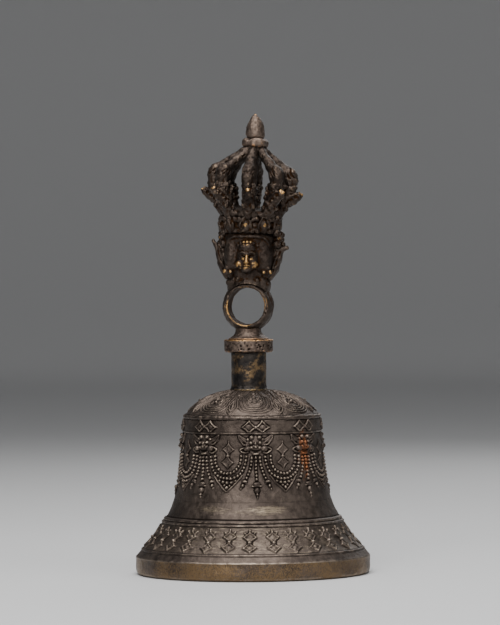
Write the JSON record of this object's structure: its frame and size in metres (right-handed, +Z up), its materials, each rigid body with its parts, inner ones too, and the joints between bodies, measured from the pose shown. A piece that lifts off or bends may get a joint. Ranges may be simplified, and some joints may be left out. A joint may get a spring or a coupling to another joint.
{
  "type": "tibetan hand bell",
  "caption": "Cast bronze hand bell with a flared rim, a crowned head and caged prongs on its handle, an open finger ring and a hanging clapper.",
  "frame": {"origin": "centre of the rim's flat face, which the bell stands on", "axes": "+Z up along the bell and its handle, -Y towards the side with the face, +X to a viewer's right"},
  "size_m": [0.097, 0.097, 0.19],
  "materials": {
    "bell_metal": "aged dark patina",
    "neck_brass": "worn patina",
    "handle_bronze": "aged dark patina, worn edges",
    "iron": "forged, dull",
    "lac": "resin",
    "clapper_brass": "satin, worn"
  },
  "bodies": {
    "bell": {"bell_shell": "bell_metal", "neck_sleeve": "neck_brass", "collar": "handle_bronze", "handle_foot": "handle_bronze", "finger_ring": "handle_bronze", "throat": "handle_bronze", "goddess_head": "handle_bronze", "crown": "handle_bronze", "ribbon_left": "handle_bronze", "ribbon_right": "handle_bronze", "lotus_base": "handle_bronze", "makara_heads": "handle_bronze", "outer_prongs": "handle_bronze", "central_prong": "handle_bronze", "prong_hub": "handle_bronze", "tip_ring": "handle_bronze", "finial_bud": "handle_bronze", "tie_rod": "iron", "lac_core": "lac", "crown_washer": "iron", "eye_nut": "iron"},
    "link": {"clapper_link": "iron"},
    "clapper": {"clapper_rod": "iron", "clapper_ball": "clapper_brass", "clapper_rivet": "iron"}
  },
  "joints": [
    {"name": "link_swing", "type": "hinge", "parent": "bell", "child": "link", "pos_m": [-0.0012, 0, 0.06165], "axis": [1, 0, 0], "range_deg": [-26, 26]},
    {"name": "clapper_swing", "type": "hinge", "parent": "link", "child": "clapper", "pos_m": [-0.0012, 0, 0.05531], "axis": [0, 1, 0], "range_deg": [-22, 22]}
  ]
}
